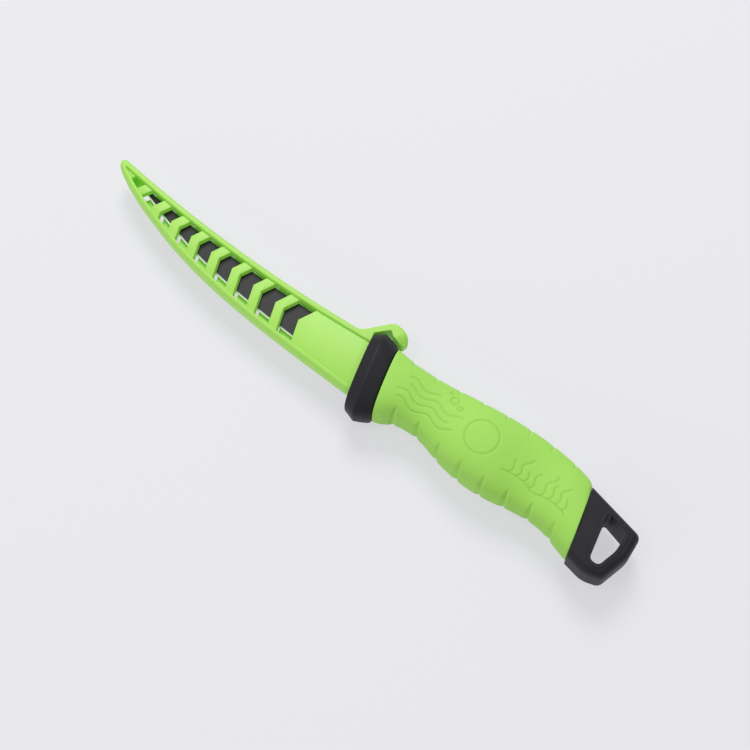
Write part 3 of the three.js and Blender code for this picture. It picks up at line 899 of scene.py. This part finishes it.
def nose_outline(right):
    """From the nose to a side given from spine to edge."""
    wall = wall_line(INTO_RIM, 0.9, flare=NOSE_FLARE)
    upper = [(x, y) for x, y in wall if y > right[1][1] and x < right[0][0]]
    lower = [(x, y) for x, y in wall if y <= right[1][1] and x < right[2][0]]
    return right[:1] + upper + lower + right[:0:-1]


def make_sheath():
    pieces = [make_rim()]
    tip_x = bar_x(0) - 4.8
    tip_top = inner_top(tip_x) + INTO_RIM
    tip_bottom = inner_bottom(tip_x) - INTO_RIM
    tip_side = [(tip_x + 0.9, tip_top), (tip_x, (tip_top + tip_bottom) / 2), (tip_x - 0.9, tip_bottom)]
    pieces.append(make_plate("nose_front", nose_outline(tip_side), 1))
    pieces.append(make_plate("nose_back", nose_outline(chevron(bar_x(0))), -1))
    for index in range(BAR_COUNT):
        front_left = chevron(bar_x(index))
        front_right = chevron(bar_x(index) + BAR_WIDTH)
        pieces.append(make_bar(f"bar_front_{index}", front_left, front_right, 1))
        if index < BAR_COUNT - 1:
            back_left = chevron(bar_x(index) + BAR_WIDTH + BACK_BAR_GAP)
            back_right = chevron(bar_x(index + 1))
            pieces.append(make_bar(f"bar_back_{index}", back_left, back_right, -1))
    pieces.append(make_plate("mouth_front", mouth_outline(chevron(bar_x(BAR_COUNT))), 1))
    pieces.append(make_plate("mouth_back", mouth_outline(chevron(bar_x(BAR_COUNT - 1) + BAR_WIDTH)), -1))
    return join("sheath_body", pieces)


# Latch: rises from the rim, bows over the guard and ends in a thumb knob; its crown is serrated.
HINGE = (-12.573, 17.2)
LATCH_HALF = 5.01
LATCH_SLOPE = math.radians(50)
LATCH_ROOT_X = -17.0
CREST_OUT = 0.95
ARM_LENGTH = 5.6
HEEL_OF_ARM = 16.2
SERRATIONS = 9
SERRATION_DEPTH = 0.35
KNOB = (1.25, 20.9)
KNOB_RADIUS = 2.2
KNOB_END_ROUNDING = 4.4
KNOB_TIP = KNOB[0] + KNOB_RADIUS + 0.05
KNOB_EASE = 1.6
OUTER_EASE = 0.9
INNER_EASE = 0.3

# Steps along the latch's outer and inner lines, which are the same so that they can be joined.
ROOT_STEPS = 14
MOUTH_STEPS = 9
ARM_STEPS = 24
CROWN_STEPS = 72
KNOB_STEPS = 8


def evenly(line, count):
    """Points at even steps along a line, its first left out."""
    spots = [Vector(point) for point in line]
    reach = [0.0]
    for here, there in zip(spots, spots[1:]):
        reach.append(reach[-1] + (there - here).length)
    points = []
    for step in range(1, count + 1):
        goal = reach[-1] * step / count
        index = max(k for k in range(len(spots) - 1) if reach[k] <= goal + 1e-9)
        share = min(1.0, (goal - reach[index]) / (reach[index + 1] - reach[index]))
        points.append(tuple(spots[index].lerp(spots[index + 1], share)))
    return points


def flank_line(places, inward, shape, side, tilt):
    """One of the lines that round a flank: the places are drawn inward as the line turns over the edge."""
    line = []
    for place, normal, (half, radius, notch) in zip(places, inward, shape):
        spot = place + normal * (radius * (1 - math.cos(tilt)) + notch * math.cos(tilt) ** 2)
        line.append(at(spot.x, spot.y, side * (half - radius + radius * math.sin(tilt))))
    return line


def inward_of(places, hand):
    """The direction into the body at each place of a line, which lies to the line's right or left hand."""
    directions = []
    for index in range(len(places)):
        along = places[min(index + 1, len(places) - 1)] - places[max(index - 1, 0)]
        directions.append(Vector((along.y, -along.x)).normalized() * hand)
    return directions


def on_knob(angle):
    return (KNOB[0] + KNOB_RADIUS * math.cos(angle), KNOB[1] + KNOB_RADIUS * math.sin(angle))


def rim_top(x):
    return inner_top(x) + RIM_WIDTH


def latch_crest():
    """Where the outer line passes the hinge."""
    return (HINGE[0] - CREST_OUT * math.sin(LATCH_SLOPE), HINGE[1] + CREST_OUT * math.cos(LATCH_SLOPE))


def latch_foot_x():
    """Where the latch's slope would meet the rim."""
    crest = latch_crest()
    return crest[0] - (crest[1] - rim_top(LATCH_ROOT_X)) / math.tan(LATCH_SLOPE)


def latch_outside():
    """The outer line, up from the rim, over the guard and round the knob, and its count before the crown."""
    crest = latch_crest()
    foot_x = latch_foot_x()
    arm_top = (crest[0] + ARM_LENGTH * math.cos(LATCH_SLOPE), crest[1] + ARM_LENGTH * math.sin(LATCH_SLOPE))
    crown = (-4.39, GUARD_TOP + 6.55)
    turn = math.radians(25)
    back = on_knob(turn)
    leave = []
    for back_by, sunk in ((6.5, 1.5), (5.0, 0.9), (2.4, 0.1)):
        leave.append((foot_x - back_by, rim_top(foot_x - back_by) - sunk))
    ramp = (foot_x + 1.5, rim_top(LATCH_ROOT_X) + 1.5 * math.tan(LATCH_SLOPE))
    root = leave + bowed(leave[-1], (foot_x, rim_top(foot_x)), ramp, 6)
    rise = bowed(arm_top, (arm_top[0] + 2.4, crown[1]), crown, 10)
    fall = bowed(crown, (back[0] - 1.0, crown[1] - 0.3), back, 10)
    knob = [on_knob(turn - math.radians(15) * step) for step in range(6)]
    line = leave[:1] + evenly(root, ROOT_STEPS) + evenly([ramp, crest], MOUTH_STEPS)
    line += evenly([crest, arm_top], ARM_STEPS)
    before_crown = len(line)
    line += evenly([arm_top] + rise + fall, CROWN_STEPS) + evenly(knob, KNOB_STEPS)
    return [Vector(point) for point in line], before_crown


def latch_inside():
    """The inner line, along the rim and up the mouth, under the arm, down the slot and round the knob."""
    start_x = latch_foot_x() - 6.0
    base_start = (start_x, inner_top(start_x) + 0.15)
    base_y = inner_top(-14.0) + 0.35
    mouth = SHEATH_MOUTH - 0.05
    mouth_foot = (slanted(mouth, base_y), base_y)
    heel = (slanted(mouth, HEEL_OF_ARM), HEEL_OF_ARM)
    slot_corner = (-6.1, 21.45)
    under_arm = tuple(mix(a, b, 0.79) for a, b in zip(heel, slot_corner))
    turn = math.radians(-125)
    slot = [under_arm, slot_corner, (-5.2, 21.5), (-3.6, 20.1), on_knob(turn)]
    line = [base_start] + evenly([base_start, mouth_foot], ROOT_STEPS)
    line += evenly([mouth_foot, heel], MOUTH_STEPS)
    line += evenly([heel, under_arm], ARM_STEPS) + evenly(slot, CROWN_STEPS)
    for step in range(1, KNOB_STEPS + 1):
        line.append(on_knob(turn + math.radians(70) * step / KNOB_STEPS))
    return [Vector(point) for point in line]


def flank_shape(place, edge, swell):
    """The latch's half thickness and its edge's rounding, slimmer and rounder towards the knob's end."""
    into_end = held((place.x - KNOB_TIP + KNOB_END_ROUNDING) / KNOB_END_ROUNDING)
    half = LATCH_HALF - (KNOB_END_ROUNDING - 1.2) * (1 - math.sqrt(1 - into_end ** 2))
    return half, mix(edge, KNOB_EASE, held((place.x - swell) / 4.0))


def make_latch():
    outer, before_crown = latch_outside()
    inner = latch_inside()
    outer_shape = []
    inner_shape = []
    for index, (above, below) in enumerate(zip(outer, inner)):
        room = 0.42 * (above - below).length
        ripple = index - before_crown
        notched = 0 <= ripple < 4 * SERRATIONS and ripple % 4 in (1, 2)
        for place, edge, swell, notch, shape in (
            (above, OUTER_EASE, -4.5, SERRATION_DEPTH if notched else 0.0, outer_shape),
            (below, INNER_EASE, -1.5, 0.0, inner_shape),
        ):
            half, full = flank_shape(place, edge, swell)
            radius = full if index > len(outer) - 30 else min(full, room)
            shape.append((half, radius, notch))

    tilts = [math.radians(22.5 * step) for step in range(5)]
    lines = []
    for places, inward, shape, sides in (
        (outer, inward_of(outer, 1), outer_shape, (-1, 1)),
        (inner, inward_of(inner, -1), inner_shape, (1, -1)),
    ):
        for tilt in reversed(tilts):
            lines.append(flank_line(places, inward, shape, sides[0], tilt))
        for tilt in tilts:
            lines.append(flank_line(places, inward, shape, sides[1], tilt))
    latch = skin("sheath_latch", lines)
    pick_edges(lambda corner: abs(in_mm(corner.co).z) > LATCH_HALF - 0.005)
    bpy.ops.mesh.mark_sharp()
    close(latch, 40)
    modify(latch, "WEIGHTED_NORMAL", keep_sharp=True, weight=50)
    return latch


# Materials.


def colour(text):
    """A colour written as sRGB hex, as the shader wants it."""
    values = [int(text[k:k + 2], 16) / 255 for k in (1, 3, 5)]
    return tuple(v / 12.92 if v <= 0.04045 else ((v + 0.055) / 1.055) ** 2.4 for v in values) + (1.0,)


def add(tree, kind, settings=None, values=None, links=None):
    """Adds a node with its settings, its sockets' values and the sockets it is fed from."""
    node = tree.nodes.new(kind)
    for key, value in (settings or {}).items():
        setattr(node, key, value)
    for key, value in (values or {}).items():
        node.inputs[key].default_value = value
    for key, source in (links or {}).items():
        tree.links.new(source, node.inputs[key])
    return node


def looked_at(tree):
    """One for rays that show a surround as it is: straight ones, mirrored ones and those through glass."""
    path = add(tree, "ShaderNodeLightPath")
    direct = add(tree, "ShaderNodeMath", {"operation": "MAXIMUM"}, links={
        0: path.outputs["Is Camera Ray"],
        1: path.outputs["Is Glossy Ray"],
    })
    clear = add(tree, "ShaderNodeMath", {"operation": "MAXIMUM"}, links={
        0: direct.outputs["Value"],
        1: path.outputs["Is Transmission Ray"],
    })
    return clear.outputs["Value"]


def new_material(name):
    material = bpy.data.materials.new(name)
    material.use_nodes = True
    material.node_tree.nodes.clear()
    return material, material.node_tree


def place_in(tree):
    return add(tree, "ShaderNodeTexCoord").outputs["Object"]


def stretched(tree, scale):
    place = place_in(tree)
    return add(tree, "ShaderNodeMapping", values={"Scale": scale}, links={"Vector": place}).outputs["Vector"]


def noise(tree, place, scale, detail):
    values = {"Scale": scale, "Detail": detail}
    return add(tree, "ShaderNodeTexNoise", values=values, links={"Vector": place}).outputs["Fac"]


def between(tree, dark, light, share):
    """A colour between two, by a share."""
    values = {6: colour(dark), 7: colour(light)}
    return add(tree, "ShaderNodeMix", {"data_type": "RGBA"}, values, {0: share}).outputs[2]


def spread(tree, low, high, share):
    """A value between two, by a share."""
    values = {"To Min": low, "To Max": high}
    return add(tree, "ShaderNodeMapRange", values=values, links={"Value": share}).outputs["Result"]


def bump(tree, height, strength, depth_mm):
    values = {"Strength": strength, "Distance": depth_mm * MM}
    return add(tree, "ShaderNodeBump", values=values, links={"Height": height}).outputs["Normal"]


def surface(tree, values, links):
    shader = add(tree, "ShaderNodeBsdfPrincipled", values=values, links=links)
    add(tree, "ShaderNodeOutputMaterial", links={"Surface": shader.outputs["BSDF"]})


def plastic(name, light, dark, blotch_mm, rough, grain_mm, grain_depth_mm, fixed, groove_shade=None):
    """Moulded plastic: faint blotches of colour, gloss that varies with them, and the mould's grain as bump.

    A groove shade is painted into the lines of an engraving: a darker colour that stands in for the shade
    falling in the grooves.
    """
    material, tree = new_material(name)
    place = place_in(tree)
    blotch = noise(tree, place, 1 / (blotch_mm * MM), 3.0)
    grain = noise(tree, place, 1 / (grain_mm * MM), 2.0)
    tone = between(tree, dark, light, blotch)
    if groove_shade:
        # Painted shade: the engraved lines are darkened toward the groove colour, standing in for shade in
        # the grooves.
        lines = add(tree, "ShaderNodeAttribute", {"attribute_name": "engraving"})
        share = add(tree, "ShaderNodeMath", {"operation": "MULTIPLY"}, {1: 0.3}, {0: lines.outputs["Fac"]})
        shaded = add(tree, "ShaderNodeMix", {"data_type": "RGBA"}, {7: colour(groove_shade)},
                     {0: share.outputs["Value"], 6: tone})
        tone = shaded.outputs[2]
    surface(tree, fixed, {
        "Base Color": tone,
        "Roughness": spread(tree, *rough, blotch),
        "Normal": bump(tree, grain, 0.6, grain_depth_mm),
    })
    return material


def coated_steel():
    """Blade steel under a dark non-stick coat: satin, with faint marks of grinding along the blade."""
    material, tree = new_material("non_stick_coated_steel")
    marks = noise(tree, stretched(tree, (60.0, 1600.0, 1600.0)), 1.0, 3.0)
    surface(tree, {"Metallic": 0.2, "Specular IOR Level": 0.3}, {
        "Base Color": between(tree, "#2C2B2E", "#38373A", marks),
        "Roughness": spread(tree, 0.38, 0.52, marks),
        "Normal": bump(tree, marks, 0.3, 0.01),
    })
    return material


def ground_steel():
    """The bare ground edge: bright steel with fine scratches across the edge, drawn at 0.2 mm to show. Its
    near-white, barely metallic base is partly the bare steel's lighter tone and partly a painted reflection
    of the bright light the edge mirrors.
    """
    material, tree = new_material("ground_edge_steel")
    scratch = noise(tree, stretched(tree, (5000.0, 300.0, 300.0)), 1.0, 2.0)
    surface(tree, {"Metallic": 0.3}, {
        "Base Color": between(tree, "#F6F6F8", "#FDFDFE", scratch),
        "Roughness": spread(tree, 0.3, 0.45, scratch),
    })
    return material


# Satin polypropylene: waxy lime green, even, with a soft wide highlight on rounded edges. It is given a
# faint green glow, painted light standing in for light passing through the translucent plastic, so the
# windows' insides stay green.
sheath_green = plastic(
    "moulded_lime_polypropylene", "#A5D261", "#9CCA57", blotch_mm=14, rough=(0.36, 0.46),
    grain_mm=0.5, grain_depth_mm=0.006,
    fixed={
        "IOR": 1.49,
        "Specular IOR Level": 0.35,
        # Painted glow: a faint green emission, though the sheath is no lamp.
        "Emission Color": colour("#90FF3C"),
        "Emission Strength": 0.14,
    },
)
# Soft thermoplastic rubber: a little darker than the sheath and matte, so it hardly mirrors anything.
grip_green = plastic(
    "soft_lime_rubber", "#A6E15E", "#9CD954", blotch_mm=12, rough=(0.6, 0.72),
    grain_mm=0.35, grain_depth_mm=0.012,
    fixed={"IOR": 1.5, "Sheen Weight": 0.08},
    # The engraved lines are darkened toward this green, a painted shade in the grooves.
    groove_shade="#74A93C",
)
# Spark-textured polypropylene: charcoal black with a fine dull grain.
black_plastic = plastic(
    "moulded_black_polypropylene", "#2D2D32", "#26262A", blotch_mm=9, rough=(0.42, 0.52),
    grain_mm=0.45, grain_depth_mm=0.02,
    fixed={"IOR": 1.49, "Specular IOR Level": 0.15},
)

# Pieces.
blade = make_blade()
handle_core = make_handle_core()
grip = make_grip()
sheath_body = make_sheath()
sheath_latch = make_latch()

for piece, material in (
    (blade, coated_steel()),
    (handle_core, black_plastic),
    (grip, grip_green),
    (sheath_body, sheath_green),
    (sheath_latch, sheath_green),
):
    piece.data.materials.clear()
    piece.data.materials.append(material)

# The coat is ground off along the cutting edge, up to a little before the guard.
GROUND_UNTIL = GUARD_FRONT - 4
blade.data.materials.append(ground_steel())
for face in blade.data.polygons:
    middle = in_mm(face.center)
    below_flat = middle.y < foot_y(middle.x) - 0.02 and abs(face.normal.z) > 0.3
    if below_flat and middle.x < GROUND_UNTIL:
        face.material_index = 1

for piece, body, node, slot in (
    (blade, "knife", "blade", "coated_steel"),
    (handle_core, "knife", "handle_core", "black_polypropylene"),
    (grip, "knife", "grip", "soft_grip"),
    (sheath_body, "sheath", "sheath_body", "sheath_plastic"),
):
    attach(piece, body)
    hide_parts(node)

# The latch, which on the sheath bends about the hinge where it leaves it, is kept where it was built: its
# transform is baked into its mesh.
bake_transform(sheath_latch)
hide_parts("sheath_latch")

# Stage: a pale table, a big soft lamp from the spine's side, two weak ones and an even surround.
TABLE_SIZE = 40.0
TABLE_GAP = 0.0004
GLOW_SHARE = 0.68
leave_edit()
bpy.ops.mesh.primitive_plane_add(size=TABLE_SIZE, location=(0, 0, -TABLE_GAP))
table = bpy.context.object
table.name = "table"
# Table paper: matte and nearly white, with a fibre too fine to draw the eye.
table_paper, tree = new_material("pale_table_paper")
paper_tone = between(tree, "#E8E7EC", "#EDECF1", noise(tree, place_in(tree), 900.0, 2.0))
paper = add(tree, "ShaderNodeBsdfPrincipled", values={"Roughness": 0.9, "Specular IOR Level": 0.1},
            links={"Base Color": paper_tone})
# The table glows where it is looked at, so that the object's shadow on it stays faint.
glow = add(tree, "ShaderNodeEmission", values={"Strength": 1.0}, links={"Color": paper_tone})
straight = add(tree, "ShaderNodeMath", {"operation": "MULTIPLY"}, {1: GLOW_SHARE}, {0: looked_at(tree)})
lit_paper = add(tree, "ShaderNodeMixShader", links={
    0: straight.outputs["Value"],
    1: paper.outputs["BSDF"],
    2: glow.outputs["Emission"],
})
add(tree, "ShaderNodeOutputMaterial", links={"Surface": lit_paper.outputs["Shader"]})
table.data.materials.append(table_paper)

world = bpy.data.worlds.new("studio_surround")
bpy.context.scene.world = world
world.use_nodes = True
tree = world.node_tree
tree.nodes.clear()
even = add(tree, "ShaderNodeBackground", values={"Color": colour("#FFFEFF"), "Strength": 0.38})
add(tree, "ShaderNodeOutputWorld", links={"Surface": even.outputs["Background"]})


def soft_lamp(name, place, target, size, watts):
    bpy.ops.object.light_add(type="AREA", location=place)
    lamp = bpy.context.object
    lamp.name = name
    lamp.data.shape = "DISK"
    lamp.data.size = size
    lamp.data.energy = watts
    lamp.rotation_mode = "QUATERNION"
    lamp.rotation_quaternion = (target - place).to_track_quat("-Z", "Y")


soft_lamp("softbox", at(-700, 900, 1500), at(0, 0), size=0.9, watts=22.0)
soft_lamp("overhead", at(-290, -440, 1300), at(-70, 0), size=0.45, watts=2.0)
soft_lamp("side_fill", at(-500, -1300, 420), at(-40, 0), size=0.9, watts=3.7)

# Camera: above the pommel's side, the knife running from upper left to lower right.
bpy.ops.object.camera_add(location=at(158.0, -199.4, 702.9))
camera = bpy.context.object
camera.name = "photo_camera"
look = Vector((-0.2106, 0.2695, -0.9397)).normalized()
right = Vector((0.788, 0.616, 0.0)).normalized()
upward = right.cross(look)
camera.rotation_mode = "QUATERNION"
camera.rotation_quaternion = Matrix((right, upward, -look)).transposed().to_quaternion()
camera.data.lens = 81.6
camera.data.sensor_width = 36.0
bpy.context.scene.camera = camera
bpy.context.scene.view_settings.view_transform = "Standard"
